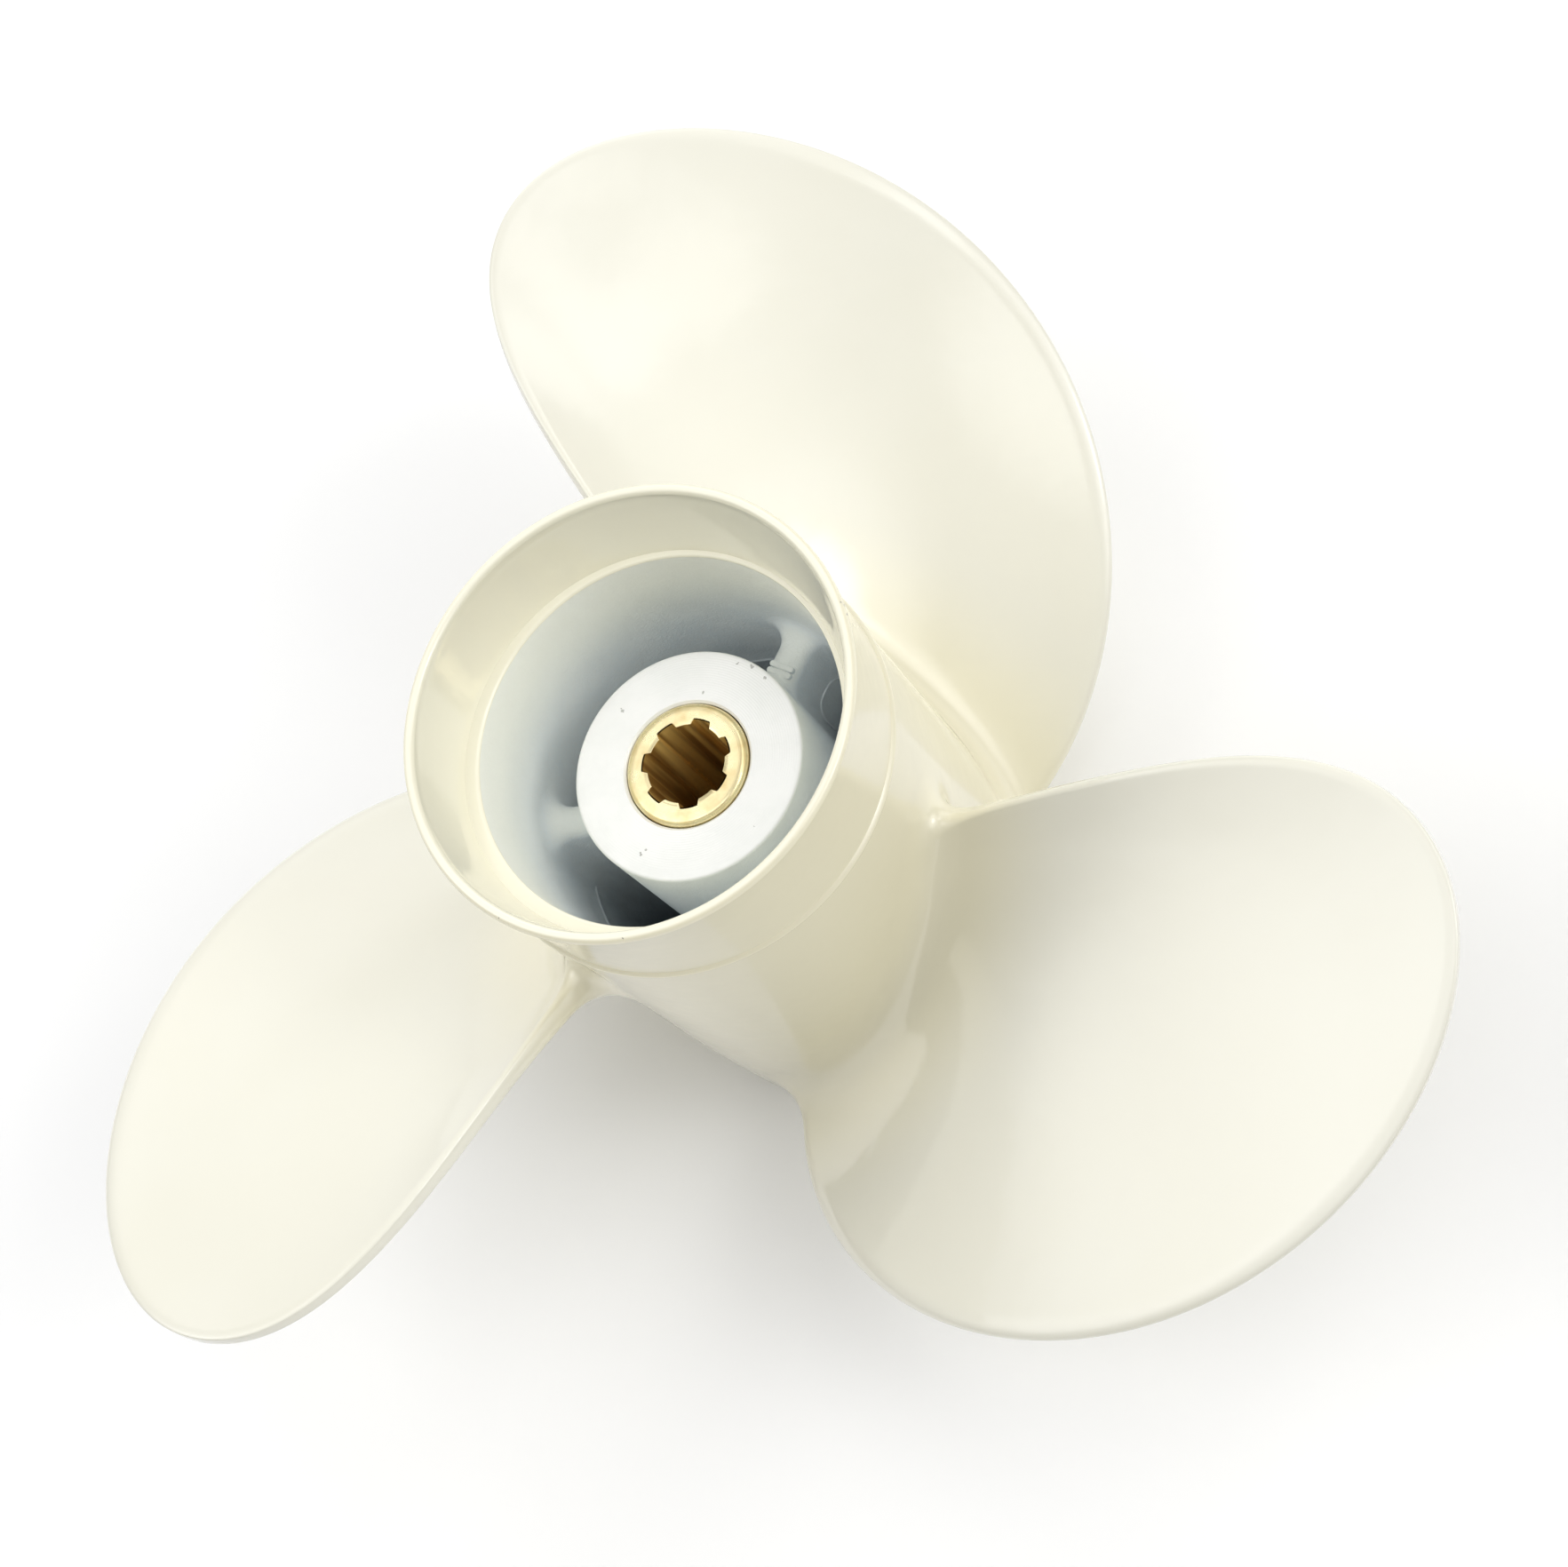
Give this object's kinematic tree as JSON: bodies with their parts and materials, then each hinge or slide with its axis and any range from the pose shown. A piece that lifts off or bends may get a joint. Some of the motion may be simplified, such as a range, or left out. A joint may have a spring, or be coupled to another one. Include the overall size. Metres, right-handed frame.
{
  "type": "outboard boat propeller",
  "caption": "Right-hand outboard propeller with raked, skewed blades on an exhaust hub, and a rubber-mounted splined brass sleeve for the propeller shaft.",
  "frame": {"origin": "on the shaft axis, in the plane of the hub barrel's forward end", "axes": "+Z along the shaft axis, pointing aft; +X along the datum radius of blade_1, and the other blades follow at 120 and 240 degrees"},
  "size_m": [0.1977, 0.1857, 0.0956],
  "materials": {
    "gloss_paint": "gloss",
    "cast_aluminium": "matte",
    "rubber": "matte",
    "brass": "satin"
  },
  "bodies": {
    "splined_hub": {"splined_sleeve": "brass", "rubber_bush": "rubber"},
    "casting": {"hub_barrel": "gloss_paint", "diffuser_ring": "gloss_paint", "inner_hub": "cast_aluminium", "rib_1": "cast_aluminium", "rib_2": "cast_aluminium", "rib_3": "cast_aluminium", "blade_1": "gloss_paint", "blade_2": "gloss_paint", "blade_3": "gloss_paint"}
  },
  "joints": [
    {"name": "hub_twist", "type": "hinge", "parent": "splined_hub", "child": "casting", "pos_m": [0, 0, 0], "axis": [0, 0, 1], "range_deg": [-8, 8], "stiffness_Nm_per_rad": 460}
  ]
}
